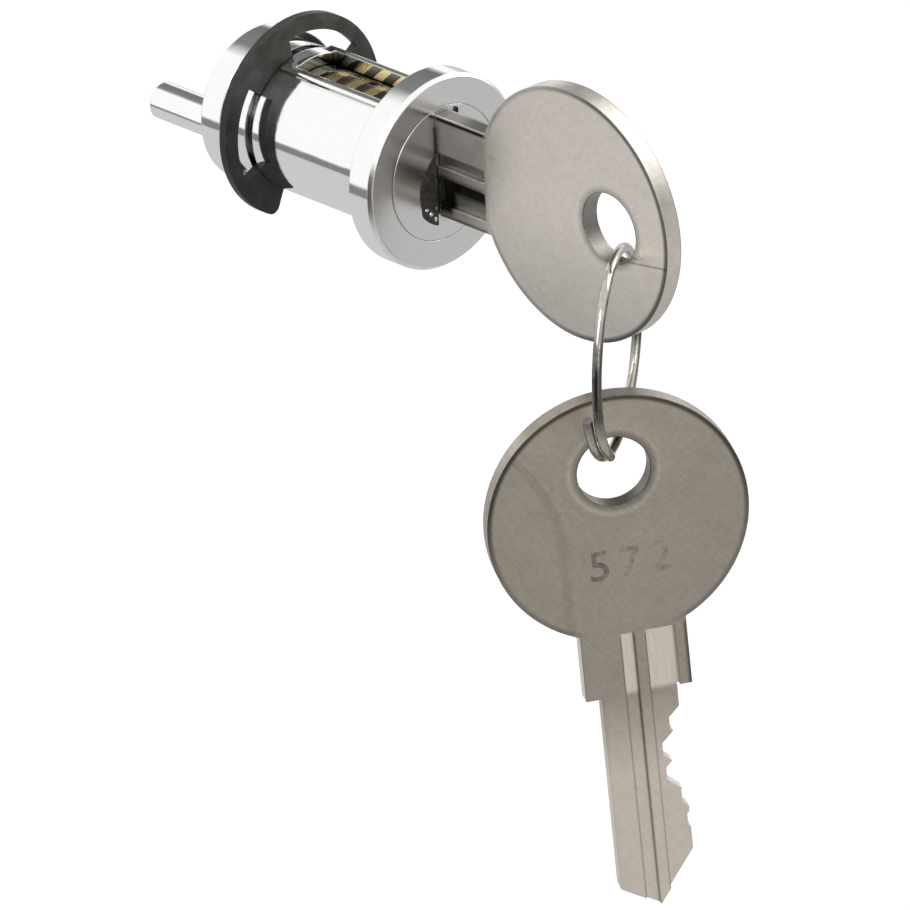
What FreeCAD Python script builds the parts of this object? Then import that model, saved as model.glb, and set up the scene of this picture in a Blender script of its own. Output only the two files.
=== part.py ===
import FreeCAD, Part
import math
import os

# Electrical enclosure lock: a keyed barrel with five sprung wafers, an eccentric drive pin, a retaining
# ring and two keys on a wire ring. Millimetres, +Z up. The origin is on the lock's axis at the back face
# of the flange. +Y runs into the cabinet, -Y points at the person who turns the key, and +X is the right
# hand side seen from the front.

V = FreeCAD.Vector

# Plug and its running fits
plug_diameter = 11.8
head_overhang = 0.9          # of the plug's head over the plug, all round
head_depth = 1.4
running_clearance = 0.05
axial_play = 0.05
index_dimple_diameter = 1.1
index_dimple_depth = 0.35
index_dimple_margin = 0.8    # from the head's edge to the dimple's middle
index_dimple_angle = 16.0    # degrees clockwise from the top, seen from the front

# Housing
flange_diameter = 19.6
flange_thickness = 3.1
flange_front_chamfer = 0.35
flange_rear_chamfer = 0.2
barrel_wall = 1.15           # round the plug's bore
barrel_length = 20.0
barrel_end_chamfer = 0.3
rail_outer_width = 7.0
rail_drop = 0.3              # from the barrel's crown down to the tops of the two rails
rail_length = 15.7
rail_edge_radius = 0.35
slot_width = 5.2             # the slot between the rails, over the wafers
slot_rear_margin = 3.0       # from the last wafer's centre to the slot's rear end

# Plug tail, drive disc and drive pin
tail_diameter = 8.0
tail_flat = 1.2              # the tail's flat lies this far below the axis
tail_fit = 0.02
stake_flare = 0.3
disc_overhang = 0.7          # of the disc over the barrel, all round
disc_thickness = 3.1
disc_edge_chamfer = 0.45
drive_pin_diameter = 3.7
drive_pin_length = 14.0      # the free length behind the disc
drive_pin_offset = 4.0       # below the axis
drive_pin_chamfer = 0.4
spigot_diameter = 3.0        # the pin's end inside the disc
spigot_fit = 0.01

# Turn stop: a lug on the disc runs in a notch in the barrel's rear end
quarter_turn = 90.0
stop_lug_start = 82.0        # degrees clockwise from the top, seen from the front
stop_lug_angle = 22.0
stop_lug_depth = 1.2
stop_gap_angle = 1.5

# Wafers and their springs
wafer_count = 5
wafer_pitch = 2.63
first_wafer = 0.9            # from the flange's back face to the first wafer's centre
wafer_thickness = 1.3
wafer_width = 5.0
wafer_travel = 1.0
wafer_clearance = 0.05
wafer_below_plug = 0.05      # how far the wafer's ends lie below the plug's surface
window_clearance = 0.1
tab_reach = 1.45
tab_height = 1.0
tab_top = 0.4
spring_wire_diameter = 0.2
spring_outer_diameter = 1.15
spring_turns = 2.5
spring_length = 3.4
spring_end_clearance = 0.02

# Retaining ring
ring_groove_start = 16.25
ring_groove_width = 1.0
ring_groove_depth = 0.6
retaining_thickness = 0.9
retaining_band = 1.25        # the band's width where it is narrowest, less its rise
retaining_window = 2.4       # from the groove's floor to the band
retaining_fit = 0.02
retaining_rise = 0.6         # how far the outer circle's centre lies towards the middle prong
retaining_direction = -31.5  # the middle prong, degrees clockwise from the top, seen from the front
middle_prong_half_angle = 21.0
leg_prong_start = 85.0
leg_prong_end = 125.0
leg_corner_radius = 0.9

# Keys, both alike
bow_diameter = 25.6
bow_hole_diameter = 7.2
bow_hole_offset = 4.95       # from the bow's centre, away from the blade
key_thickness = 1.85
neck_width = 10.45
neck_offset = 0.35           # the neck's middle lies this far towards the cut side
shoulder_distance = 18.7     # from the bow's centre to the long shoulder
cut_shoulder_setback = 0.1   # the shoulder on the cut side lies this much nearer the bow
back_step = 1.55             # from the neck's edge to the blade's back
blade_width = 7.5
blade_reach = 8.23           # from the last cut's middle to the tip
tip_back_rise = 2.3          # how far the blade's back stops short of the tip
tip_cut_rise = 5.1           # how far the cut side stops short of the tip
tip_height = 3.8             # from the blade's back to the tip's corner
cut_depths = [1.1, 2.0, 1.85, 0.6, 0.25]
cut_root_width = 1.2
cut_flank_angle = 46.0       # degrees from the key's length
face_groove_back = 2.4       # from the blade's back to the narrow groove on the face
face_groove_width = 1.3
face_groove_depth = 0.4
relief_back = 4.85           # from the blade's back to the wide groove, open to the cut side
relief_width = 2.85
relief_depth = 0.55
rear_groove_back = 3.75      # the groove on the key's other face
rear_groove_width = 1.1
rear_groove_depth = 0.6
groove_start = 12.2          # from the bow's centre, at the bow's foot

# The inserted key's place
key_height = 1.4             # the bow's centre above the lock's axis
key_seat_gap = 0.05
keyway_clearance = 0.08
keyway_end_clearance = 0.2

# Wire ring: its ends lap side by side
wire_diameter = 0.95
wire_ring_radius = 10.0      # to the wire's centre
wire_lap_gap = 0.15
wire_ring_seat = V(-1.26, -0.52, 1.0)  # from the foot of the inserted key's hole to the ring's top
wire_ring_azimuth = 213.3    # direction of its near side, degrees from +X towards +Y
wire_ring_lean = 1.4         # degrees out of plumb
wire_start_angle = 74.0      # degrees from the ring's foot towards its near side
wire_lap_angle = 40.0

# The spare key on the wire ring
spare_hang_angle = -6.6      # degrees from the ring's foot towards its near side
spare_contact_distance = 2.69  # from the wire to the hole's centre
spare_contact_angle = -15.1  # degrees from straight up, in the key's plane
spare_lean = 3.0             # degrees out of plumb, the tip towards the cut side
spare_facing = -31.0         # azimuth of the direction from the key's back to its cut side

# Sizes that follow
plug_radius = plug_diameter / 2
head_radius = plug_radius + head_overhang
bore_radius = plug_radius + running_clearance
barrel_radius = bore_radius + barrel_wall
rail_height = barrel_radius - rail_drop
disc_radius = barrel_radius + disc_overhang
ring_groove_radius = barrel_radius - ring_groove_depth
window_radius = ring_groove_radius + retaining_window
face_y = -flange_thickness
plug_rear = barrel_length + axial_play
disc_rear = plug_rear + disc_thickness
neck_back = neck_offset - neck_width / 2
neck_edge = neck_offset + neck_width / 2
blade_back = neck_back + back_step
blade_edge = blade_back + blade_width
blade_top_z = key_height - blade_back
blade_foot_z = key_height - blade_edge
wafer_places = [first_wafer + i * wafer_pitch for i in range(wafer_count)]
blade_length = key_seat_gap + flange_thickness + wafer_places[-1] + blade_reach
slot_end = wafer_places[-1] + slot_rear_margin
tab_x = wafer_width / 2 + tab_reach
tab_foot = tab_top - tab_height
spring_x = wafer_width / 2 + tab_reach / 2
spring_floor = tab_foot - spring_length - 2 * spring_end_clearance
spring_radius = (spring_outer_diameter - spring_wire_diameter) / 2
spring_pitch = (spring_length - spring_wire_diameter) / spring_turns
wire_pitch = wire_diameter + wire_lap_gap
wire_turns = 1 + wire_lap_angle / 360.0
bow_center_y = face_y - key_seat_gap - shoulder_distance
hole_foot = V(0, bow_center_y - bow_hole_offset, key_height - bow_hole_diameter / 2)
wire_ring_center = hole_foot + wire_ring_seat - V(0, 0, wire_ring_radius)

# Cutting tools and measuring points
far = 40.0                   # longer than any piece
overrun = 1.0                # how far a tool reaches past what it cuts
gap_points = 72              # measuring points in one turn of a coil


def rod(radius, front, rear, x=0.0, z=0.0):
    """A cylinder along +Y."""
    return Part.makeCylinder(radius, rear - front, V(x, front, z), V(0, 1, 0))


def block(x0, x1, y0, y1, z0, z1):
    return Part.makeBox(x1 - x0, y1 - y0, z1 - z0, V(x0, y0, z0))


def prism(points, direction):
    """A closed polygon of points, pushed out along a direction."""
    return Part.Face(Part.makePolygon(list(points) + [points[0]])).extrude(direction)


def clock_point(radius, angle, y):
    """A point at an angle clockwise from the top, seen from the front."""
    turn = math.radians(angle)
    return V(radius * math.sin(turn), y, radius * math.cos(turn))


def sector(inner, outer, start, end, front, rear):
    """A piece of a tube along +Y between two angles clockwise from the top."""
    middle = (start + end) / 2
    edges = [
        Part.Arc(*[clock_point(outer, a, front) for a in (start, middle, end)]).toShape(),
        Part.makeLine(clock_point(outer, end, front), clock_point(inner, end, front)),
        Part.Arc(*[clock_point(inner, a, front) for a in (end, middle, start)]).toShape(),
        Part.makeLine(clock_point(inner, start, front), clock_point(outer, start, front)),
    ]
    return Part.Face(Part.Wire(edges)).extrude(V(0, rear - front, 0))


def round_edges(shape, radius, chosen):
    """Fillets on the edges that the test picks."""
    return shape.makeFillet(radius, [e for e in shape.Edges if chosen(e)])


def bevel_edges(shape, size, chosen):
    """Chamfers on the edges that the test picks."""
    return shape.makeChamfer(size, [e for e in shape.Edges if chosen(e)])


def circle_edge_at(y, radius):
    """A test for full circles of one radius about the axis at one depth."""
    def chosen(edge):
        curve = edge.Curve
        if not isinstance(curve, Part.Circle):
            return False
        return abs(curve.Radius - radius) < 1e-4 and abs(curve.Center.y - y) < 1e-4
    return chosen


def housing_shell():
    """Flange and barrel in one casting, with the rails, the wafer slot and the ring groove."""
    flange = rod(flange_diameter / 2, face_y, 0)
    flange = bevel_edges(flange, flange_front_chamfer, circle_edge_at(face_y, flange_diameter / 2))
    flange = bevel_edges(flange, flange_rear_chamfer, circle_edge_at(0, flange_diameter / 2))
    barrel = rod(barrel_radius, face_y / 2, barrel_length)
    barrel = bevel_edges(barrel, barrel_end_chamfer, circle_edge_at(barrel_length, barrel_radius))
    half = rail_outer_width / 2
    rails = block(-half, half, face_y / 2, rail_length, 0, rail_height)
    rails = round_edges(
        rails, rail_edge_radius, lambda e: e.BoundBox.ZMin > rail_height - 1e-4 and e.BoundBox.XLength < 1e-4
    )
    body = flange.fuse([barrel, rails]).removeSplitter()
    slot = block(-slot_width / 2, slot_width / 2, 0, slot_end, 0, rail_height + overrun)
    groove = rod(barrel_radius + rail_height, ring_groove_start, ring_groove_start + ring_groove_width).cut(
        rod(ring_groove_radius, ring_groove_start, ring_groove_start + ring_groove_width)
    )
    head_seat = rod(head_radius + running_clearance, face_y, face_y + head_depth + axial_play)
    notch = sector(
        plug_radius - overrun,
        barrel_radius + overrun,
        stop_lug_start - stop_gap_angle,
        stop_lug_start + stop_lug_angle + quarter_turn + stop_gap_angle,
        barrel_length - stop_lug_depth - axial_play,
        barrel_length + overrun,
    )
    return body.cut([rod(bore_radius, face_y, barrel_length), slot, groove, head_seat, notch])


def key_outline():
    """The key's flat outline before its cuts: u runs from the bow's centre to the tip, v to the cut side."""
    tip = shoulder_distance + blade_length
    cut_shoulder = shoulder_distance - cut_shoulder_setback
    points = [
        V(0, neck_back, 0),
        V(shoulder_distance, neck_back, 0),
        V(shoulder_distance, blade_back, 0),
        V(tip - tip_back_rise, blade_back, 0),
        V(tip, blade_back + tip_height, 0),
        V(tip - tip_cut_rise, blade_edge, 0),
        V(cut_shoulder, blade_edge, 0),
        V(cut_shoulder, neck_edge, 0),
        V(0, neck_edge, 0),
    ]
    thickness = V(0, 0, key_thickness)
    bow = Part.makeCylinder(bow_diameter / 2, key_thickness)
    return bow.fuse(prism(points, thickness)).removeSplitter()


def key_cut(place, depth):
    """The wedge that one pass of the cutter takes out of the blade's edge."""
    root = blade_edge - depth
    mouth = blade_edge + overrun
    spread = (mouth - root) / math.tan(math.radians(cut_flank_angle))
    half = cut_root_width / 2
    points = [
        V(place - half, root, -overrun),
        V(place + half, root, -overrun),
        V(place + half + spread, mouth, -overrun),
        V(place - half - spread, mouth, -overrun),
    ]
    return prism(points, V(0, 0, key_thickness + 2 * overrun))


def grooves(start, length, clearance):
    """The milled grooves as tools along u. A clearance makes them smaller, to leave ribs in a keyway."""
    tools = []
    for back, width, depth, level, side in (
        (face_groove_back, face_groove_width, face_groove_depth, key_thickness, 1),
        (relief_back, relief_width, relief_depth, key_thickness, 1),
        (rear_groove_back, rear_groove_width, rear_groove_depth, 0.0, -1),
    ):
        near, far_side = blade_back + back + clearance, blade_back + back + width - clearance
        floor, open_end = level - side * (depth - clearance), level + side * overrun
        section = [
            V(start, near, floor),
            V(start, far_side, floor),
            V(start, far_side, open_end),
            V(start, near, open_end),
        ]
        tools.append(prism(section, V(length, 0, 0)))
    return tools


def key_flat():
    """One finished key lying flat, its faces at 0 and at the key's thickness."""
    key = key_outline()
    hole = Part.makeCylinder(bow_hole_diameter / 2, far, V(-bow_hole_offset, 0, -overrun))
    cuts = [
        key_cut(shoulder_distance + key_seat_gap + flange_thickness + place, depth)
        for place, depth in zip(wafer_places, cut_depths)
    ]
    return key.cut([hole] + cuts + grooves(groove_start, far, 0.0))


def keyway():
    """The blade's own section with clearance all round, less a rib for each groove in the key."""
    start = shoulder_distance - overrun
    length = overrun + blade_length + keyway_end_clearance
    height = blade_width + 2 * keyway_clearance
    width = key_thickness + 2 * keyway_clearance
    corner = V(start, blade_back - keyway_clearance, -keyway_clearance)
    return Part.makeBox(length, height, width, corner).cut(grooves(start, length, keyway_clearance))


def put(shape, x_axis, y_axis, z_axis, origin):
    """A copy of a shape with its own axes laid along three directions and its own origin at a point."""
    matrix = FreeCAD.Matrix(
        x_axis.x, y_axis.x, z_axis.x, origin.x,
        x_axis.y, y_axis.y, z_axis.y, origin.y,
        x_axis.z, y_axis.z, z_axis.z, origin.z,
        0, 0, 0, 1,
    )
    moved = shape.copy()
    moved.Placement = FreeCAD.Placement(matrix).multiply(shape.Placement)
    return moved


def insert_key(shape):
    """Turn a flat key so that its blade runs into the lock, cuts down, and put it in its seat."""
    seat = V(key_thickness / 2, bow_center_y, key_height)
    return put(shape, V(0, 1, 0), V(0, 0, -1), V(-1, 0, 0), seat)


def plug_core():
    """Plug with its head, keyway, wafer slots, spring pockets and D-shaped tail."""
    core = rod(plug_radius, face_y, plug_rear)
    head = rod(head_radius, face_y, face_y + head_depth)
    tail = rod(tail_diameter / 2, plug_rear - overrun, disc_rear)
    flare = Part.makeCone(
        tail_diameter / 2,
        tail_diameter / 2 + stake_flare,
        stake_flare,
        V(0, disc_rear - stake_flare, 0),
        V(0, 1, 0),
    )
    below_flat = block(-far, far, plug_rear, disc_rear + overrun, -far, -tail_flat)
    core = core.fuse([head, tail.fuse(flare).cut(below_flat)]).removeSplitter()
    cuts = [insert_key(keyway())]
    half_slot = wafer_thickness / 2 + wafer_clearance
    slot_x = wafer_width / 2 + wafer_clearance
    for place in wafer_places:
        front, rear = place - half_slot, place + half_slot
        cuts.append(block(-slot_x, slot_x, front, rear, -far, far))
        cuts.append(block(0, tab_x + wafer_clearance, front, rear, spring_floor, far))
    dimple = clock_point(head_radius - index_dimple_margin, index_dimple_angle, face_y)
    cuts.append(rod(index_dimple_diameter / 2, face_y, face_y + index_dimple_depth, dimple.x, dimple.z))
    return core.cut(cuts)


def drive_disc():
    """Disc staked on the plug's tail, with the drive pin's hole and the stop lug."""
    disc = rod(disc_radius, plug_rear, disc_rear)
    disc = bevel_edges(disc, disc_edge_chamfer, circle_edge_at(disc_rear, disc_radius))
    hole = rod(tail_diameter / 2 + tail_fit, plug_rear, disc_rear)
    sink = Part.makeCone(
        tail_diameter / 2 + tail_fit,
        tail_diameter / 2 + tail_fit + stake_flare,
        stake_flare,
        V(0, disc_rear - stake_flare, 0),
        V(0, 1, 0),
    )
    below_flat = block(-far, far, plug_rear, disc_rear, -far, -tail_flat - tail_fit)
    pin_hole = rod(spigot_diameter / 2 + spigot_fit, plug_rear, disc_rear, 0, -drive_pin_offset)
    lug = sector(
        bore_radius + running_clearance,
        barrel_radius,
        stop_lug_start,
        stop_lug_start + stop_lug_angle,
        plug_rear - stop_lug_depth,
        plug_rear,
    )
    return disc.cut([hole.fuse(sink).cut(below_flat), pin_hole]).fuse(lug).removeSplitter()


def drive_pin():
    """The eccentric pin, held in the disc by its thinner end."""
    rear = disc_rear + drive_pin_length
    pin = rod(drive_pin_diameter / 2, disc_rear, rear, 0, -drive_pin_offset)
    pin = bevel_edges(pin, drive_pin_chamfer, lambda e: e.BoundBox.YMin > rear - 1e-4)
    return pin.fuse(rod(spigot_diameter / 2, plug_rear, disc_rear, 0, -drive_pin_offset))


def wafer(place):
    """A brass wafer with round ends, a window for the key and a side tab over its spring."""
    half = wafer_thickness / 2
    front, rear = place - half, place + half
    plate = rod(plug_radius - wafer_below_plug, front, rear)
    plate = plate.common(block(-wafer_width / 2, wafer_width / 2, front, rear, -far, far))
    tab = block(0, tab_x, front, rear, tab_foot, tab_top)
    window_half = key_thickness / 2 + window_clearance
    window_foot = blade_foot_z - window_clearance - wafer_travel
    window_top = blade_top_z + window_clearance
    window = block(-window_half, window_half, front - overrun, rear + overrun, window_foot, window_top)
    return plate.fuse(tab).cut(window).removeSplitter()


def biarc(start, start_way, end, end_way):
    """Two arcs that join two points and leave and reach them along two directions."""
    chord = end - start
    ways = start_way + end_way
    bend = 2 * (1 - start_way.dot(end_way))
    reach = (math.sqrt(chord.dot(ways) ** 2 + bend * chord.dot(chord)) - chord.dot(ways)) / bend
    joint = (start + end + (start_way - end_way) * reach) * 0.5
    arcs = []
    for first, corner, last in (
        (start, start + start_way * reach, joint),
        (joint, end - end_way * reach, end),
    ):
        lean = (last - first).Length / (2 * reach)
        middle = (first + last) * 0.5
        crown = middle + (corner - middle) * (lean / (1 + lean))
        arcs.append(Part.Arc(first, crown, last).toShape())
    return arcs


def helix_point(radius, pitch, turn):
    """A point on a helix about the Z axis after an angle in radians."""
    return V(radius * math.cos(turn), radius * math.sin(turn), pitch * turn / (2 * math.pi))


def helix_way(radius, pitch, turn):
    """The direction in which a helix runs there."""
    return V(-radius * math.sin(turn), radius * math.cos(turn), pitch / (2 * math.pi)).normalize()


def least_gap(radius, pitch, turns, wire):
    """The least gap between a coil's turns, measured on points of its centre line."""
    count = round(turns * gap_points)
    points = [helix_point(radius, pitch, 2 * math.pi * i / gap_points) for i in range(count + 1)]
    later = gap_points // 2
    spans = [(b - a).Length for i, a in enumerate(points) for b in points[i + later:]]
    return min(spans) - wire


def round_wire(wire, point, way):
    return Part.Wire(Part.makeCircle(wire / 2, point, way))


def square_wire(wire, point, way):
    """A square section, its corners on the round wire's circle."""
    out = V(point.x, point.y, 0).normalize() * (wire / 2)
    up = out.cross(way)
    corners = [point + out, point + up, point - out, point - up]
    return Part.makePolygon(corners + [corners[0]])


def coil(radius, pitch, turns, wire, section):
    """A helix of wire about the Z axis, wound on arcs of about a quarter turn and swept as one tube."""
    count = math.ceil(turns * 2)
    steps = [2 * math.pi * turns * i / count for i in range(count + 1)]
    places = [(helix_point(radius, pitch, turn), helix_way(radius, pitch, turn)) for turn in steps]
    arcs = []
    for (start, start_way), (end, end_way) in zip(places, places[1:]):
        arcs += biarc(start, start_way, end, end_way)
    return Part.Wire(arcs).makePipeShell([section(wire, *places[0])], True, False)


def wafer_spring(place):
    """The small coil spring under a wafer's tab. It stays hidden, so its wire is square to keep it light."""
    spring = coil(spring_radius, spring_pitch, spring_turns, spring_wire_diameter, square_wire)
    spring.translate(V(spring_x, place, spring_floor + spring_end_clearance + spring_wire_diameter / 2))
    return spring


def retaining_ring():
    """Open retaining ring in the groove: a band, widest in the middle, with three inward prongs."""
    front = ring_groove_start + (ring_groove_width - retaining_thickness) / 2
    rear = front + retaining_thickness
    inner = ring_groove_radius + retaining_fit
    outer = window_radius + retaining_band
    middle = retaining_direction
    center = clock_point(retaining_rise, middle, 0)
    band = sector(inner / 2, outer, middle - leg_prong_end, middle + leg_prong_end, front, rear)
    band.translate(center)
    cuts = [rod(inner, front, rear)]
    for side in (-1, 1):
        ends = sorted([middle + side * middle_prong_half_angle, middle + side * leg_prong_start])
        cuts.append(sector(inner - overrun, window_radius, ends[0], ends[1], front, rear))

    def leg_corner(edge):
        box = edge.BoundBox
        if box.XLength > 1e-4 or box.ZLength > 1e-4:
            return False
        return abs(math.hypot(box.XMin - center.x, box.ZMin - center.z) - outer) < 1e-3

    return round_edges(band.cut(cuts), leg_corner_radius, leg_corner)


def wire_ring_axes():
    """Unit vectors of the wire ring's plane: down, towards its near side, and its normal."""
    azimuth = math.radians(wire_ring_azimuth)
    lean = math.radians(wire_ring_lean)
    near = V(math.cos(azimuth), math.sin(azimuth), 0)
    level = V(math.sin(azimuth), -math.cos(azimuth), 0)
    down = V(0, 0, -math.cos(lean)) + level * math.sin(lean)
    return down, near, near.cross(down)


def wire_point(angle):
    """A point on the wire's centre line, counted from the ring's foot towards its near side, and back up."""
    down, near, normal = wire_ring_axes()
    turn = math.radians(angle)
    middle = wire_start_angle - 360.0 * wire_turns / 2
    side = normal * (wire_pitch * (middle - angle) / 360.0)
    return wire_ring_center + (down * math.cos(turn) + near * math.sin(turn)) * wire_ring_radius + side


def wire_ring():
    """One turn of wire and a lap, wound so that its two ends lie side by side."""
    tube = coil(wire_ring_radius, wire_pitch, wire_turns, wire_diameter, round_wire)
    tube.translate(V(0, 0, -wire_pitch * wire_turns / 2))
    down, near, normal = wire_ring_axes()
    start = math.radians(wire_start_angle)
    first = down * math.cos(start) + near * math.sin(start)
    return put(tube, first, normal.cross(first), normal, wire_ring_center)


def hang_key(shape):
    """Hang a flat key from the wire ring, blade down, its face with the bevelled groove to the front left."""
    azimuth = math.radians(spare_facing)
    lean = math.radians(spare_lean)
    side = V(math.cos(azimuth), math.sin(azimuth), 0)
    down = V(0, 0, -1)
    blade = down * math.cos(lean) + side * math.sin(lean)
    cut_side = side * math.cos(lean) - down * math.sin(lean)
    face = blade.cross(cut_side)
    tilt = math.radians(spare_contact_angle)
    to_hole = (cut_side * math.sin(tilt) + blade * math.cos(tilt)) * spare_contact_distance
    hole = wire_point(spare_hang_angle) + to_hole
    return put(shape, blade, cut_side, face, hole + blade * bow_hole_offset - face * (key_thickness / 2))


def build():
    key = key_flat()
    parts = {
        "housing_shell": housing_shell(),
        "retaining_ring": retaining_ring(),
        "plug_core": plug_core(),
        "drive_disc": drive_disc(),
        "drive_pin": drive_pin(),
        "inserted_key": insert_key(key),
        "wire_ring": wire_ring(),
        "spare_key": hang_key(key),
    }
    for number, place in enumerate(wafer_places, 1):
        parts[f"wafer_{number}"] = wafer(place)
        parts[f"wafer_spring_{number}"] = wafer_spring(place)
    return parts


spring_gap = least_gap(spring_radius, spring_pitch, spring_turns, spring_wire_diameter)
ring_gap = least_gap(wire_ring_radius, wire_pitch, wire_turns, wire_diameter)
print("least gap in a wafer spring", round(spring_gap, 3), "and in the wire ring", round(ring_gap, 3))
os.makedirs("parts", exist_ok=True)
for name, shape in build().items():
    solids = shape.Solids
    print(name, len(solids), shape.isValid(), round(shape.Volume, 3))
    shape.exportStep(f"parts/{name}.step")
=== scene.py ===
import math
import bmesh
import bpy
from mathutils import Matrix, Vector


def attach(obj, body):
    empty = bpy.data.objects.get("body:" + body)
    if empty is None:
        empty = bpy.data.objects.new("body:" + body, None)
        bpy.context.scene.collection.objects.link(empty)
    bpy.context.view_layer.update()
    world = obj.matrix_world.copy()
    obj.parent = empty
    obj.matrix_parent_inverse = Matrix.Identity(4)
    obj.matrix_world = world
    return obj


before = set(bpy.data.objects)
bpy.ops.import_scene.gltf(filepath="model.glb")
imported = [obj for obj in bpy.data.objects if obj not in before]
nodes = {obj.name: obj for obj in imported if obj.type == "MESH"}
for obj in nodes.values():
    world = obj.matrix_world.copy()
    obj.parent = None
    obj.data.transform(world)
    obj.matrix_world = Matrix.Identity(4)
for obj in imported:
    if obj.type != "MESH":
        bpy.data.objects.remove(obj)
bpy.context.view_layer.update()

MM = 0.001

# The lock in millimetres, as the CAD has it
FLANGE_FRONT = -3.1                  # y of the lock's face
BARREL_END = 20.0                    # y

# The keys in millimetres, as the CAD has them: u runs from the bow's centre to the tip, v to the cut side,
# and w out of the face that shows
KEY_THICKNESS = 1.85
BOW_RADIUS = 12.8
HOLE_OFFSET = 4.95                   # the hole's centre lies this far behind the bow's
HOLE_RADIUS = 3.6
NECK = (-4.875, 5.575)               # v of the neck's two edges
GROOVE_START = 12.2                  # u where the neck's grooves start
SHOULDER = 18.7                      # u where the blade starts
GROOVE_WALLS = (-0.925, 0.375, 1.525)   # v of the narrow groove's two walls and the wide groove's first one
INSERTED_BOW = Vector((0.0, -21.85, 1.4))
INSERTED_WAYS = (Vector((0, 1, 0)), Vector((0, 0, -1)), Vector((-1, 0, 0)))
SPARE_BOW = Vector((-0.894, -26.024, -28.695))
SPARE_WAYS = (
    Vector((0.04486, -0.02696, -0.99863)),
    Vector((0.85599, -0.51433, 0.05234)),
    Vector((-0.51504, -0.85717, 0.0)),
)


class Nodes:
    """Short calls for a material's or the world's nodes. A value is a number, a colour or a node's output."""

    def __init__(self, tree):
        self.tree = tree

    def add(self, kind, **settings):
        node = self.tree.nodes.new(kind)
        for key, value in settings.items():
            setattr(node, key, value)
        return node

    def put(self, value, socket):
        """Give a socket its value."""
        if isinstance(value, bpy.types.NodeSocket):
            self.tree.links.new(value, socket)
        elif socket.type == "RGBA":
            socket.default_value = (*value, 1.0)
        else:
            socket.default_value = value

    def fill(self, node, *values):
        """Give a node's first sockets their values."""
        for value, socket in zip(values, node.inputs):
            self.put(value, socket)
        return node.outputs[0]

    def math(self, operation, a, b=0.0):
        return self.fill(self.add("ShaderNodeMath", operation=operation), a, b)

    def fold(self, operation, values):
        """One operation over several values in turn."""
        result = values[0]
        for value in values[1:]:
            result = self.math(operation, result, value)
        return result

    def plus(self, *values):
        return self.fold("ADD", values)

    def minus(self, a, b):
        return self.math("SUBTRACT", a, b)

    def times(self, *values):
        return self.fold("MULTIPLY", values)

    def most(self, *values):
        return self.fold("MAXIMUM", values)

    def span(self, value, low, high, out_low=0.0, out_high=1.0):
        """The value's place between low and high, from out_low to out_high, and no further."""
        return self.fill(self.add("ShaderNodeMapRange"), value, low, high, out_low, out_high)

    def between(self, value, low, high, soft):
        """One inside a range and nought outside it, with ends twice as wide as soft."""
        rise = self.span(value, low - soft, low + soft)
        return self.times(rise, self.span(value, high - soft, high + soft, 1.0, 0.0))

    def scaled(self, value, share):
        """A colour or place times a number."""
        node = self.add("ShaderNodeVectorMath", operation="SCALE")
        self.put(share, node.inputs["Scale"])
        return self.fill(node, value)

    def place(self):
        """The object's own coordinates in millimetres."""
        return self.scaled(self.add("ShaderNodeTexCoord").outputs["Object"], 1 / MM)

    def along(self, place, direction):
        """How far a place lies in a direction."""
        node = self.add("ShaderNodeVectorMath", operation="DOT_PRODUCT")
        self.fill(node, place, direction)
        return node.outputs["Value"]

    def combine(self, x, y, z):
        return self.fill(self.add("ShaderNodeCombineXYZ"), x, y, z)

    def stretched(self, place, *ways):
        """A place in coordinates along three directions, finer where the direction is longer."""
        return self.combine(*[self.along(place, way) for way in ways])

    def noise(self, place, scale=1.0, detail=3.0, rough=0.55):
        node = self.add("ShaderNodeTexNoise")
        for value, name in ((place, "Vector"), (scale, "Scale"), (detail, "Detail"), (rough, "Roughness")):
            self.put(value, node.inputs[name])
        return node.outputs["Fac"]

    def mix(self, factor, a, b):
        """Colour a where the factor is nought and colour b where it is one."""
        node = self.add("ShaderNodeMix", data_type="RGBA")
        for value, name in ((factor, "Factor"), (a, "A"), (b, "B")):
            self.put(value, node.inputs[name])
        return node.outputs["Result"]

    def mix_shader(self, factor, a, b):
        """Shader a where the factor is nought and shader b where it is one."""
        return self.fill(self.add("ShaderNodeMixShader"), factor, a, b)

    def glow(self, strength):
        """White light of a strength."""
        node = self.add("ShaderNodeEmission")
        self.put(strength, node.inputs["Strength"])
        return node.outputs[0]


class Finish(Nodes):
    """A new material."""

    def __init__(self, name):
        self.material = bpy.data.materials.new(name)
        self.material.use_nodes = True
        super().__init__(self.material.node_tree)
        self.shader = self.tree.nodes["Principled BSDF"]

    def surface(self, colour, roughness, normal=None, metallic=1.0):
        """Give the material's own shader its values."""
        inputs = self.shader.inputs
        self.put(colour, inputs["Base Color"])
        self.put(roughness, inputs["Roughness"])
        self.put(metallic, inputs["Metallic"])
        if normal is not None:
            self.put(normal, inputs["Normal"])
        return self.material

    def show(self, shader):
        """Show another shader in place of the material's own."""
        self.put(shader, self.tree.nodes["Material Output"].inputs["Surface"])
        return self.material

    def shaded(self, colour, reach_mm, dark):
        """A colour that gets darker in slots, grooves and corners, where little light comes in."""
        node = self.add("ShaderNodeAmbientOcclusion", samples=8)
        self.put(reach_mm * MM, node.inputs["Distance"])
        return self.scaled(colour, self.span(node.outputs["AO"], 0.25, 0.85, dark, 1.0))

    def rounded(self, radius_mm):
        """Normals as if the sharp edges were rounded."""
        node = self.add("ShaderNodeBevel", samples=6)
        self.put(radius_mm * MM, node.inputs["Radius"])
        return node.outputs["Normal"]

    def bump(self, height, distance_mm, strength, normal=None):
        node = self.add("ShaderNodeBump")
        for value, name in ((height, "Height"), (distance_mm * MM, "Distance"), (strength, "Strength")):
            self.put(value, node.inputs[name])
        if normal is not None:
            self.put(normal, node.inputs["Normal"])
        return node.outputs["Normal"]


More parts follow.
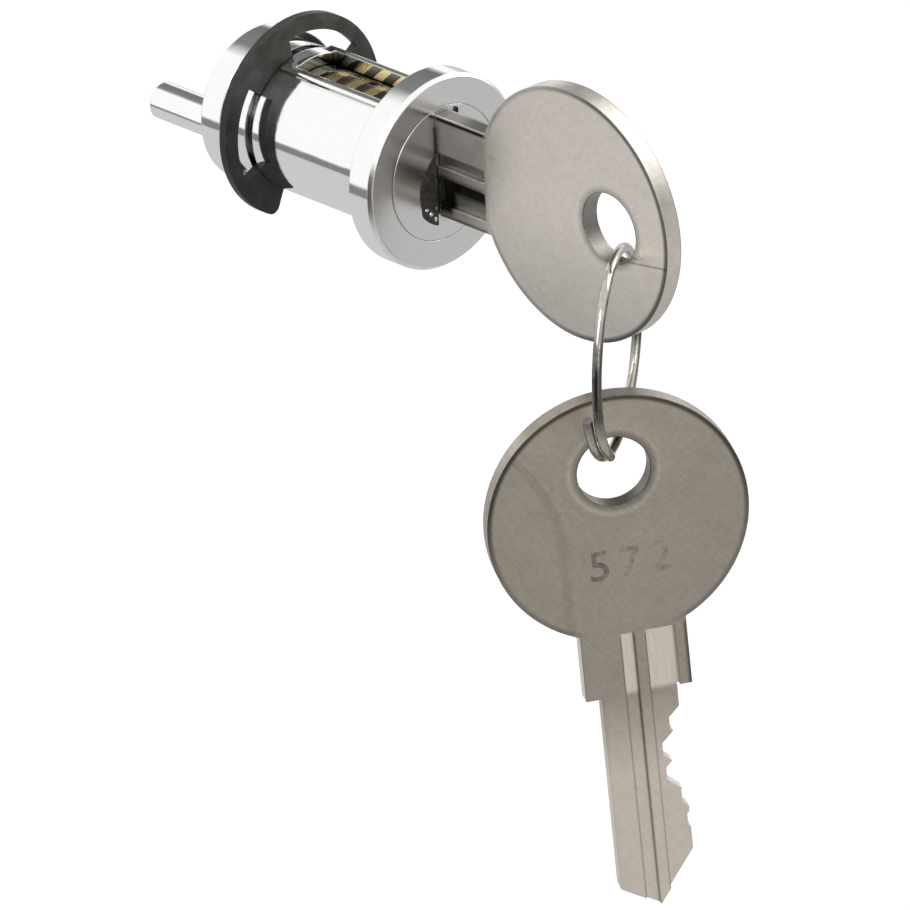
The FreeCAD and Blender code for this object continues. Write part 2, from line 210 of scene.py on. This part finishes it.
# Lock and wire
CHROME = ((0.975, 0.975, 0.965), (0.88, 0.88, 0.87))             # clean, and in the specks
# the plug's dark brown inside the barrel: partly grease, partly painted shade
GREASE_AND_SHADE = (0.17, 0.15, 0.10)
GREASED_AND_SHADED = (-0.4, BARREL_END - 0.6)   # y of the plug's stretch inside the barrel
SATIN = 0.15                         # added roughness of the lock's face
CLIP_COAT = ((0.011, 0.0105, 0.0095), (0.032, 0.031, 0.027))     # dark and light patches
# painted sheen: the clip's lighter tones towards its top
CLIP_TOP_SHEEN = ((0.045, 0.042, 0.038), (0.105, 0.098, 0.088))
BRASS = ((1.0, 0.82, 0.42), (0.86, 0.65, 0.28))
WIRE = ((0.60, 0.57, 0.52), (0.44, 0.42, 0.38))
DULL_WIRE = ((0.19, 0.18, 0.165), (0.10, 0.095, 0.088))
DULL_STRETCH = (-15.0, -5.5)         # z between the keys, where nothing rubs the wire bright


def chrome(name, greased_and_shaded=False):
    """Polished chrome plate, a little wavy, with faint wiping marks and specks. The lock's face is satin."""
    m = Finish(name)
    p = m.place()
    waves = m.noise(p, scale=0.35, detail=2.0)
    specks = m.noise(p, scale=6.0, detail=4.0, rough=0.7)
    wipe = m.noise(m.stretched(p, (0.3, 0, 1), (0, 5, 0), (1, 0, 0.3)), scale=1.4)
    plate = m.mix(m.span(specks, 0.45, 0.80), *CHROME)
    depth = m.along(p, (0, 1, 0))
    if greased_and_shaded:
        # dark brown inside the barrel: partly grease, partly painted shade
        plate = m.mix(m.between(depth, *GREASED_AND_SHADED, 0.2), plate, GREASE_AND_SHADE)
    satin = m.span(depth, FLANGE_FRONT + 0.2, FLANGE_FRONT + 0.35, SATIN, 0.0)
    roughness = m.plus(m.span(wipe, 0.3, 0.7, 0.05, 0.10), satin)
    normal = m.bump(waves, 0.05, 0.3, m.rounded(0.2))
    return m.surface(m.shaded(plate, reach_mm=1.8, dark=0.12), roughness, m.bump(wipe, 0.002, 0.3, normal))


def clip_black():
    """Phosphated spring steel: nearly black, with a fine grain, and a painted sheen that lightens it towards
    its top.
    """
    m = Finish("clip_black")
    p = m.place()
    grain = m.noise(p, scale=5.0, detail=5.0, rough=0.65)
    cloud = m.noise(p, scale=0.5)
    patches = m.span(m.plus(m.times(grain, 0.5), m.times(cloud, 0.5)), 0.4, 0.62)
    # painted sheen, growing towards the clip's top
    height = m.span(m.along(p, (0.3, 0, 0.95)), 2.0, 10.0)
    colour = m.mix(height, m.mix(patches, *CLIP_COAT), m.mix(patches, *CLIP_TOP_SHEEN))
    m.shader.inputs["Specular IOR Level"].default_value = 0.35
    normal = m.bump(grain, 0.02, 0.35, m.rounded(0.12))
    return m.surface(colour, m.span(grain, 0.3, 0.7, 0.34, 0.55), normal, metallic=0.0)


def brass():
    """Stamped brass with fine shear lines on its edges."""
    m = Finish("wafer_brass")
    grain = m.noise(m.stretched(m.place(), (1, 0, 0), (0, 6, 0), (0, 0, 1)), scale=2.0)
    colour = m.shaded(m.mix(m.span(grain, 0.3, 0.7), *BRASS), reach_mm=0.5, dark=0.45)
    return m.surface(colour, m.span(grain, 0.3, 0.7, 0.16, 0.32), m.bump(grain, 0.01, 0.4, m.rounded(0.06)))


def steel():
    """Drawn wire with a fine grain, dull between the keys."""
    m = Finish("bright_steel")
    p = m.place()
    grain = m.noise(p, scale=2.5, detail=4.0)
    patches = m.span(grain, 0.35, 0.7)
    stretch = m.between(m.along(p, (0, 0, 1)), *DULL_STRETCH, 1.5)
    colour = m.mix(stretch, m.mix(patches, *WIRE), m.mix(patches, *DULL_WIRE))
    return m.surface(colour, m.span(grain, 0.3, 0.7, 0.10, 0.20), m.bump(grain, 0.006, 0.2))


# Keys. The tones are those of the bow's light and dark streaks, the blade and the milled floors, and last the
# share of its tone that the bow keeps at the cut side.
# Their levels paint light and shade: the spare's bow darker and its blade and milled floors lighter, the
# inserted key's blade and milled floors darker
INSERTED_LIT_TONES = ((1.0, 0.93, 0.86), (0.88, 0.82, 0.75), (0.70, 0.65, 0.58), (0.50, 0.47, 0.42), 0.70)
SPARE_LIT_TONES = ((0.52, 0.47, 0.395), (0.44, 0.395, 0.33), (0.95, 0.865, 0.75), (1.0, 0.91, 0.79), 0.92)
POLISH_ANGLE = (0.80, 0.60)          # the polishing lines' direction in u and v
POLISH_SHARES = (0.30, 0.28, 0.22, 0.20)   # of lines, clouds, mottling and weave in the tone
CUT_SIDE = (0.5, 10.5)               # v where the bow starts and stops to get darker, in painted shade

# Shares of its tone that an area of a key keeps
BLADE_STREAKS = 0.86
MILLING_STREAKS = 0.88
# painted shade along the edges, in the grooves' walls and in the hole
EDGE_SHADE = 0.22
GROOVE_WALL_SHADE = 0.40
HOLE_WALL_SHADE = 0.40
# painted shade at the spare bow's step, and a painted highlight on its coined ring
STEP_SHADE = 0.84
COINED_HIGHLIGHT = 1.18
# painted shade on the inserted key's neck
NECK_SHADE = 0.77
# painted shadow of the wire ring on the inserted bow
WIRE_SHADOW_SHADE = 0.15

# Places of a key's areas and marks
FACE_DEPTH = 0.06                    # nearer to the key's two faces than this is on them
GROOVE_DEPTH = 0.2                   # and deeper than this is in a groove
BOW_END = (1.2, 0.2)                 # the bow's looks fade between these distances before the grooves
NECK_SOFT = 0.3
BLADE_START = (-0.2, 8.5)            # the blade's tone grows between these distances past the shoulder
OUTLINE_SHADE = (0.60, 0.28)          # the painted shade along the edges grows between these distances from the bow's outline
OUTLINE_FADES = (-3.0, 5.0, 1.0, 0.45)     # two places along u, and how strong it is at them
NECK_EDGE_SHADE = (0.45, 0.15)        # and these from the neck's edge on the cut side
HOLE_EDGE_SHADE = (0.1, 0.8)               # and fades between these from the hole
WALL_LINE = 0.08                     # half of a wall's line of painted shade
COINED_RING = (4.2, 4.6)             # radii of the ring's painted highlight round the hole
COINED_HOLLOW = (4.3, 4.9)           # radii of its shape
STEP_LINE = (-5.7, 2.0, 0.04)        # v of the step by the neck, u where its bend starts, and the bend's rate
NECK_GROOVE_SHADE = (1.3, 3.1)               # v of the band of painted shade on the inserted key's neck
NECK_GROOVE_SHADE_BY_FACE = 5.0              # v that it widens to next to the lock's face
# tone of the neck groove's painted shade
GROOVE_SHADE_TONE = (0.02, 0.018, 0.016)
TOP_LINE = (0.10, 0.50)              # the dark line lies between these distances from the neck's top edge
TOP_LINE_TONE = (0.03, 0.028, 0.025)
WIRE_SHADOW = (3.76, 0.137)                # v of the ring's painted shadow where u is nought, and how much it grows with u
WIRE_SHADOW_END = -7.1                     # u where the ring's painted shadow ends


class KeyFinish(Finish):
    """A new material for a key, with the places and areas that its looks go by."""

    def __init__(self, name, bow, ways):
        super().__init__(name)
        self.spot = self.fill(self.add("ShaderNodeVectorMath", operation="SUBTRACT"), self.place(), bow)
        self.u, self.v, self.w = [self.along(self.spot, way) for way in ways]
        self.from_bow = self.length(self.u, self.v)
        self.from_hole = self.length(self.plus(self.u, HOLE_OFFSET), self.v)
        self.on_bow = self.span(self.u, *[GROOVE_START - before for before in BOW_END], 1.0, 0.0)
        self.on_neck = self.between(self.u, GROOVE_START - NECK_SOFT, SHOULDER, NECK_SOFT)
        off_middle = self.math("ABSOLUTE", self.w)
        self.on_face = self.math("GREATER_THAN", off_middle, KEY_THICKNESS / 2 - FACE_DEPTH)
        self.in_groove = self.math("LESS_THAN", off_middle, KEY_THICKNESS / 2 - GROOVE_DEPTH)

    def length(self, a, b):
        return self.math("SQRT", self.plus(self.times(a, a), self.times(b, b)))

    def toned(self, colour, where, share):
        """The colour, times a share in one area."""
        return self.mix(where, colour, self.scaled(colour, share))

    def streaked(self, streaks, colour, share):
        """A plain colour with streaks of a share of it."""
        return self.mix(streaks, colour, tuple(part * share for part in colour))


def dark_edges(m, face):
    """Painted shade along the bow's outline, the neck's lower edge, the grooves' walls, and round and in the
    hole.
    """
    outline = m.span(m.from_bow, *[BOW_RADIUS - inside for inside in OUTLINE_SHADE])
    outline = m.times(outline, m.on_bow, m.span(m.u, *OUTLINE_FADES))
    neck_edge = m.span(m.v, *[NECK[1] - inside for inside in NECK_EDGE_SHADE], 0.0, 0.8)
    hole_edge = m.span(m.from_hole, *[HOLE_RADIUS + outside for outside in HOLE_EDGE_SHADE], 0.55, 0.0)
    edges = m.most(outline, m.times(neck_edge, m.on_neck), hole_edge)
    face = m.toned(face, m.times(edges, m.on_face), EDGE_SHADE)
    walls = m.most(*[m.between(m.v, wall - WALL_LINE, wall + WALL_LINE, 0.10) for wall in GROOVE_WALLS])
    walls = m.times(walls, m.span(m.u, GROOVE_START + 0.2, GROOVE_START + 0.4), 0.8)
    face = m.toned(face, walls, GROOVE_WALL_SHADE)
    in_hole = m.span(m.from_hole, HOLE_RADIUS + 0.03, HOLE_RADIUS + 0.08, 1.0, 0.0)
    return m.toned(face, in_hole, HOLE_WALL_SHADE)


def past_step(m):
    """How far v lies past the faint step on the bow, straight near the neck and bent near the hole."""
    level, bend_start, bend_rate = STEP_LINE
    bend = m.most(m.minus(bend_start, m.u), 0.0)
    return m.minus(m.v, m.minus(level, m.times(bend, bend, bend_rate)))


def spare_marks(m, face, step):
    """Painted shade at the blanking tool's faint step and a painted highlight on the spare bow's coined ring.
    """
    face = m.toned(face, m.times(m.between(step, -0.1, 0.3, 0.45), m.on_bow), STEP_SHADE)
    return m.toned(face, m.times(m.between(m.from_hole, *COINED_RING, 0.2), m.on_face), COINED_HIGHLIGHT)


def inserted_marks(m, face, cloud):
    """The inserted key's neck and groove in painted shade, a dark line under its top edge, and the ring's
    painted shadow on the bow.
    """
    face = m.toned(face, m.on_neck, NECK_SHADE)
    # the wire ring's painted shadow on the bow
    wire_shadow = m.between(m.minus(m.v, m.plus(WIRE_SHADOW[0], m.times(m.u, WIRE_SHADOW[1]))), -0.09, 0.09, 0.09)
    wire_shadow = m.times(wire_shadow, m.span(m.u, WIRE_SHADOW_END - 0.3, WIRE_SHADOW_END, 0.65, 0.0), m.on_face)
    face = m.toned(face, wire_shadow, WIRE_SHADOW_SHADE)
    top = m.between(m.v, *[NECK[0] + below for below in TOP_LINE], 0.12)
    face = m.mix(m.times(top, m.on_neck, m.on_face), face, TOP_LINE_TONE)
    # painted shade in the neck's groove, wider next to the lock's face
    groove_shade = m.between(m.v, *NECK_GROOVE_SHADE, 0.35)
    groove_shade = m.times(groove_shade, m.between(m.u, GROOVE_START + 0.2, SHOULDER + 0.1, 0.4))
    by_face = m.between(m.v, NECK_GROOVE_SHADE[0], NECK_GROOVE_SHADE_BY_FACE, 0.3)
    by_face = m.times(by_face, m.span(m.u, SHOULDER - 2.3, SHOULDER - 1.6), m.on_neck)
    return m.mix(m.times(m.most(groove_shade, by_face), m.span(cloud, 0.25, 0.5, 0.8, 1.0)), face, GROOVE_SHADE_TONE)


def key_nickel(name, bow, ways, tones, is_spare):
    """Worn nickel with diagonal polishing lines. The bow, the blade and the milled floors differ in tone,
    which paints their light and shade.
    """
    light, dark, blade, milled, cut_side_shade = tones
    m = KeyFinish(name, bow, ways)
    by_u, by_v = POLISH_ANGLE
    slant = m.plus(m.times(m.u, by_u), m.times(m.v, by_v))
    cross = m.minus(m.times(m.v, by_u), m.times(m.u, by_v))
    lines = m.noise(m.combine(m.times(slant, 0.5), m.times(cross, 4.0), m.w), rough=0.6)
    weave = m.noise(m.combine(m.times(slant, 3.0), m.times(cross, 0.6), m.w), detail=2.0, rough=0.6)
    cloud = m.noise(m.spot, scale=0.25, detail=4.0, rough=0.6)
    mottle = m.noise(m.spot, scale=1.6, rough=0.6)
    milling = m.noise(m.combine(m.times(m.u, 0.25), m.times(m.v, 7.0), 0.0), detail=2.0)
    tone = m.plus(*[m.times(*pair) for pair in zip((lines, cloud, mottle, weave), POLISH_SHARES)])
    face = m.mix(m.span(tone, 0.42, 0.58), light, dark)
    # painted shade towards the bow's cut side
    face = m.toned(face, m.span(m.v, *CUT_SIDE), cut_side_shade)
    on_blade = m.span(m.u, *[SHOULDER + past for past in BLADE_START])
    face = m.mix(on_blade, face, m.streaked(m.span(tone, 0.38, 0.62), blade, BLADE_STREAKS))
    floors = m.times(m.in_groove, m.on_neck)
    face = m.mix(floors, face, m.streaked(m.span(milling, 0.35, 0.65), milled, MILLING_STREAKS))
    face = dark_edges(m, face)
    hollow = m.between(m.from_hole, *COINED_HOLLOW, 0.45)
    normal = m.bump(hollow, 0.05, 0.5 if is_spare else 0.15, m.rounded(0.18))
    if is_spare:
        step = past_step(m)
        face = spare_marks(m, face, step)
        normal = m.bump(m.times(m.span(step, -0.5, 0.5), m.on_bow), 0.04, 0.4, normal)
    else:
        face = inserted_marks(m, face, cloud)
    normal = m.bump(lines, 0.03, 0.5, normal)
    normal = m.bump(weave, 0.025, 0.5, normal)
    normal = m.bump(milling, 0.008, 0.3, normal)
    return m.surface(face, m.span(cloud, 0.3, 0.7, 0.26, 0.40), normal)


def give(material, *names):
    for name in names:
        for slot in nodes[name].material_slots:
            slot.material = material


springs = [name for name in nodes if "spring" in name]
wafers = [name for name in nodes if name.startswith("wafer_") and name not in springs]
plate_chrome = chrome("chrome_plate")
give(plate_chrome, "housing_shell", "drive_disc", "drive_pin")
give(chrome("chrome_plug", greased_and_shaded=True), "plug_core")
give(clip_black(), "retaining_ring")
give(brass(), *wafers)
give(steel(), "wire_ring", *springs)
give(key_nickel("key_nickel", INSERTED_BOW, INSERTED_WAYS, INSERTED_LIT_TONES, is_spare=False), "inserted_key")
give(key_nickel("key_nickel_spare", SPARE_BOW, SPARE_WAYS, SPARE_LIT_TONES, is_spare=True), "spare_key")


def new_object(name, data):
    obj = bpy.data.objects.new(name, data)
    bpy.context.scene.collection.objects.link(obj)
    return obj


# Stamped number on the spare key's bow, in millimetres
DIGITS = "572"
DIGIT_HEIGHT = 3.3
DIGIT_SPACING = 1.35
SIZE_PER_HEIGHT = 1.35               # the font's size over its digits' height
DIGIT_SWELL = 0.05                   # added to the strokes on each side
DIGIT_PLACE = (6.2, -3.4)            # u and v of the number's lower left corner
DIGIT_PROUD = 0.004
# painted shade in the stamped digits, where the stamp is deep and where it is faint
STAMP_DEEP = ((0.18, 0.16, 0.135), (0.38, 0.34, 0.285))
STAMP_FAINT = ((0.30, 0.27, 0.225), (0.46, 0.415, 0.35))
STAMP_FADES = (2.2, 3.4)             # x where the stamp goes from deep to faint


def stamp_shade():
    """Dark worn nickel that paints the shade in the stamped digits, fainter towards the number's right end.
    """
    m = Finish("stamp_shade")
    p = m.place()
    wear = m.noise(p, scale=0.9, detail=4.0, rough=0.7)
    worn = m.span(wear, 0.35, 0.60)
    fades = m.span(m.along(p, (1, 0, 0)), *STAMP_FADES)
    colour = m.mix(fades, m.mix(worn, *STAMP_DEEP), m.mix(worn, *STAMP_FAINT))
    return m.surface(colour, m.span(wear, 0.3, 0.7, 0.35, 0.50), m.bump(wear, 0.02, 0.4))


def stamped_number():
    """Generic digits, shallow and worn, laid on the face that shows, in a dark tone that paints the stamp's
    shade.
    """
    length_way, cut_way, face_way = SPARE_WAYS
    curve = bpy.data.curves.new("stamped_number", "FONT")
    curve.body = DIGITS
    curve.size = DIGIT_HEIGHT * SIZE_PER_HEIGHT * MM
    curve.space_character = DIGIT_SPACING
    curve.offset = DIGIT_SWELL * MM
    curve.materials.append(stamp_shade())
    obj = new_object("stamped_number", curve)
    level = SPARE_BOW + face_way * (KEY_THICKNESS / 2 + DIGIT_PROUD)
    corner = level + length_way * DIGIT_PLACE[0] + cut_way * DIGIT_PLACE[1]
    turn = Matrix((cut_way, -length_way, face_way)).transposed().to_4x4()
    obj.matrix_world = Matrix.Translation(corner * MM) @ turn
    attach(obj, "spare")


stamped_number()


# Painted shade of the keyway's hollow beside the key, a thin black patch, in millimetres: x and z of its
# outline
MARK_OUTLINE = (
    (-1.02, 4.6), (-1.04, 5.05), (-1.26, 4.9), (-1.22, 4.0), (-1.30, 2.9), (-1.34, 2.1),
    (-1.9, 1.5), (-2.5, 0.6), (-3.1, -0.3), (-3.35, -1.5), (-3.2, -2.7), (-3.05, -3.7),
    (-2.3, -4.5), (-1.5, -5.05), (-1.04, -5.15), (-1.02, -4.7), (-1.02, 0.0),
)
MARK_STEPS = 5                       # points for each of the outline's
MARK_KEY_SIDE = -0.98                # x that it stays left of
MARK_PROUD = 0.02
MARK_GAP = 0.001                     # its back stands this far off the plug's face
MARK_TAPER = (-1.12, 0.12)           # x that its front's outline draws in to, and the share of the way
# tones of the patch's painted shade
SHADOW_PATCH_BLACK = ((0.012, 0.010, 0.009), (0.055, 0.048, 0.042))

# Bright burrs at the mark's foot: x, z, radius, and the share of the radius that they stand out
BURRS = (
    (-2.45, -3.15, 0.26, 0.30),
    (-1.95, -3.75, 0.30, 0.22),
    (-1.40, -4.45, 0.26, 0.26),
    (-1.30, -3.35, 0.15, 0.30),
)


def smooth_loop(points, steps):
    """A closed smooth curve through the points."""
    count = len(points)
    line = []
    for i in range(count):
        a, b, c, d = (Vector(points[(i + k) % count]) for k in (-1, 0, 1, 2))
        for step in range(steps):
            t = step / steps
            parabola = 2 * b + (c - a) * t + (2 * a - 5 * b + 4 * c - d) * t ** 2
            line.append(0.5 * (parabola + (3 * b - a - 3 * c + d) * t ** 3))
    return line


def keyway_shadow_black():
    """Rough black that paints the shade in the keyway's hollow."""
    m = Finish("keyway_shadow_black")
    grain = m.noise(m.place(), scale=2.2, detail=4.0, rough=0.65)
    colour = m.mix(m.span(grain, 0.35, 0.65), *SHADOW_PATCH_BLACK)
    return m.surface(colour, m.span(grain, 0.3, 0.7, 0.45, 0.75), m.bump(grain, 0.05, 0.6), metallic=0.0)


def keyway_shadow_patch():
    """A thin closed patch of painted shade on the plug's face, its front a little smaller than its back."""
    back = [Vector((min(p.x, MARK_KEY_SIDE), p.y)) for p in smooth_loop(MARK_OUTLINE, MARK_STEPS)]
    front = [Vector((p.x + (MARK_TAPER[0] - p.x) * MARK_TAPER[1], p.y)) for p in back]
    verts = [Vector((p.x, FLANGE_FRONT - MARK_GAP - proud, p.y)) * MM
             for line, proud in ((back, 0.0), (front, MARK_PROUD)) for p in line]
    count = len(back)
    faces = [(i, (i + 1) % count, count + (i + 1) % count, count + i) for i in range(count)]
    faces += [tuple(range(2 * count - 1, count - 1, -1)), tuple(range(count))]
    mesh = bpy.data.meshes.new("keyway_shadow_patch")
    mesh.from_pydata(verts, [], faces)
    mesh.materials.append(keyway_shadow_black())
    obj = new_object("keyway_shadow_patch", mesh)
    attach(obj, "plug")


def burr(index, x, z, radius, stands_out):
    """A small bright crumb of metal. The later ones are narrower and taller."""
    width, height = 1.5 - 0.25 * index, 0.5 + 0.2 * index
    middle = Vector((x, FLANGE_FRONT - MARK_PROUD, z)) * MM
    form = bmesh.new()
    bmesh.ops.create_icosphere(form, subdivisions=3, radius=radius * MM)
    for vert in form.verts:
        across, out, up = vert.co
        wobble = 1 + 0.18 * math.sin(9 * across / (radius * MM) + index) * math.cos(5 * up / (radius * MM))
        vert.co = Vector((across * wobble * width, out * stands_out, up * wobble * height)) + middle
    mesh = bpy.data.meshes.new(f"burr_{index}")
    form.to_mesh(mesh)
    form.free()
    for polygon in mesh.polygons:
        polygon.use_smooth = True
    mesh.materials.append(plate_chrome)
    obj = new_object(f"burr_{index}", mesh)
    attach(obj, "plug")


keyway_shadow_patch()
for number, numbers in enumerate(BURRS, 1):
    burr(number, *numbers)


# Studio, in metres
FLOOR_Z = -0.11
FLOOR_SIZE = 6.0
FLOOR_GREY = (0.88, 0.88, 0.88)
FLOOR_GLOW = 0.45                    # what makes it white to the camera
FLOOR_IN_METAL = (0.50, 0.60)        # its tone in metal, in front of the lock and behind it
FLOOR_CHANGES = (-120, 60)           # y in millimetres where that tone starts and stops to change
SKY_LIGHT = 0.35
CARD_FADE = 0.40                     # share of a card's smaller half that its soft edge takes
STUDIO_MIDDLE = Vector((0, -0.015, -0.02))


def stage_plane(name, place, width, height, material):
    middle, across, up = place
    across, up = across * width / 2, up * height / 2
    mesh = bpy.data.meshes.new(name)
    corners = [middle - across - up, middle + across - up, middle + across + up, middle - across + up]
    mesh.from_pydata(corners, [], [(0, 1, 2, 3)])
    mesh.materials.append(material)
    obj = new_object(name, mesh)
    return obj


def level_at(middle):
    """Middle and the two ways of a plane that lies flat."""
    return Vector(middle), Vector((1, 0, 0)), Vector((0, 1, 0))


def facing(direction, distance):
    """Middle and the two ways of a plane that faces the object from a direction."""
    way = Vector(direction).normalized()
    across = way.cross(Vector((0, 0, 1))).normalized()
    return STUDIO_MIDDLE + way * distance, across, across.cross(way)


def floor_pale():
    """A floor that the camera sees as white with the object's shadow, and metal as pale grey."""
    m = Finish("floor_pale")
    m.surface(FLOOR_GREY, 0.9, metallic=0.0)
    own = m.shader.outputs["BSDF"]
    rays = m.add("ShaderNodeLightPath").outputs
    glowing = m.fill(m.add("ShaderNodeAddShader"), own, m.glow(FLOOR_GLOW))
    in_metal = m.glow(m.span(m.along(m.place(), (0, 1, 0)), *FLOOR_CHANGES, *FLOOR_IN_METAL))
    seen = m.mix_shader(rays["Is Camera Ray"], own, glowing)
    return m.show(m.mix_shader(rays["Is Glossy Ray"], seen, in_metal))


def card(name, place, width, height, low, high):
    """A grey card with soft edges that shows in metal alone. Its tone goes from low at its foot to high."""
    m = Finish(name)
    p = m.place()
    middle, across, up = place
    half_width, half_height = width / 2 / MM, height / 2 / MM
    side = m.minus(m.along(p, across), middle.dot(across) / MM)
    rise = m.minus(m.along(p, up), middle.dot(up) / MM)
    grey = m.glow(m.span(rise, -half_height, half_height, low, high))
    inward = m.math("MINIMUM", m.minus(half_width, m.math("ABSOLUTE", side)),
                    m.minus(half_height, m.math("ABSOLUTE", rise)))
    solid = m.span(inward, 0.0, CARD_FADE * min(half_width, half_height))
    clear = m.add("ShaderNodeBsdfTransparent").outputs["BSDF"]
    obj = stage_plane(name, place, width, height, m.show(m.mix_shader(solid, clear, grey)))
    for rays in ("camera", "diffuse", "shadow", "transmission"):
        setattr(obj, f"visible_{rays}", False)


stage_plane("floor", level_at((0, 0, FLOOR_Z)), FLOOR_SIZE, FLOOR_SIZE, floor_pale())

# Each card's place, width, height, and tones at its foot and top
card("front_card", facing((-0.76, -0.53, -0.18), 0.24), 0.40, 0.22, 0.09, 0.09)
card("front_mat", level_at((-0.24, -0.17, -0.106)), 0.33, 0.40, 0.09, 0.09)
card("side_card", facing((-0.31, -0.865, -0.42), 0.26), 0.18, 0.20, 1.0, 0.96)
card("line_card", facing((-0.661, 0.716, -0.23), 0.313), 0.30, 0.060, 0.22, 0.22)
card("horizon_card", facing((-0.700, 0.711, -0.050), 0.361), 0.40, 0.120, 1.0, 1.0)
card("back_card", facing((0.45, 0.67, 0.55), 0.45), 0.50, 0.34, 0.14, 0.24)
card("right_card", facing((0.70, -0.68, 0.15), 0.40), 0.30, 0.28, 0.22, 0.22)

world = bpy.data.worlds.new("studio")
world.use_nodes = True
bpy.context.scene.world = world
air = Nodes(world.node_tree)
sky, white = air.tree.nodes["Background"], air.add("ShaderNodeBackground")
for background, strength in ((sky, SKY_LIGHT), (white, 1.0)):
    air.fill(background, (1, 1, 1), strength)
rays = air.add("ShaderNodeLightPath").outputs
shows = air.most(rays["Is Camera Ray"], rays["Is Glossy Ray"], rays["Is Transmission Ray"])
backdrop = air.mix_shader(shows, sky.outputs[0], white.outputs[0])
air.put(backdrop, air.tree.nodes["World Output"].inputs["Surface"])


def lamp(name, place, aim, width, height, power):
    data = bpy.data.lights.new(name, "AREA")
    data.shape = "RECTANGLE"
    data.size, data.size_y, data.energy = width, height, power
    place, aim = Vector(place), Vector(aim)
    turn = (aim - place).to_track_quat("-Z", "Y").to_matrix().to_4x4()
    new_object(name, data).matrix_world = Matrix.Translation(place) @ turn


# Each lamp's place, aim, width, height, and power in watts
lamp("key_lamp", (-0.55, -0.15, 0.60), (0, -0.01, -0.01), 0.5, 0.5, 3.0)
lamp("fill_lamp", (-0.30, -0.90, 0.15), (0, -0.02, -0.02), 0.5, 0.6, 1.5)
lamp("rim_lamp", (0.70, -0.10, 0.45), (0, 0, -0.01), 0.4, 0.4, 1.5)

# Camera, fitted to the photograph
CAMERA_AT = Vector((-1024.173, -1123.283, 674.738)) * MM
CAMERA_RIGHT = Vector((0.723833, -0.68863, -0.043053))
CAMERA_DOWN = Vector((-0.318765, -0.278416, -0.906021))
CAMERA_AHEAD = Vector((0.611927, 0.669532, -0.421038))
camera_data = bpy.data.cameras.new("camera")
camera_data.sensor_width = 36.0
camera_data.lens = 687.772
camera_data.clip_start = 0.1
camera_data.clip_end = 20.0
camera = new_object("camera", camera_data)
turn = Matrix((CAMERA_RIGHT, -CAMERA_DOWN, -CAMERA_AHEAD)).transposed().to_4x4()
camera.matrix_world = Matrix.Translation(CAMERA_AT) @ turn
bpy.context.scene.camera = camera
bpy.context.scene.view_settings.view_transform = "Standard"
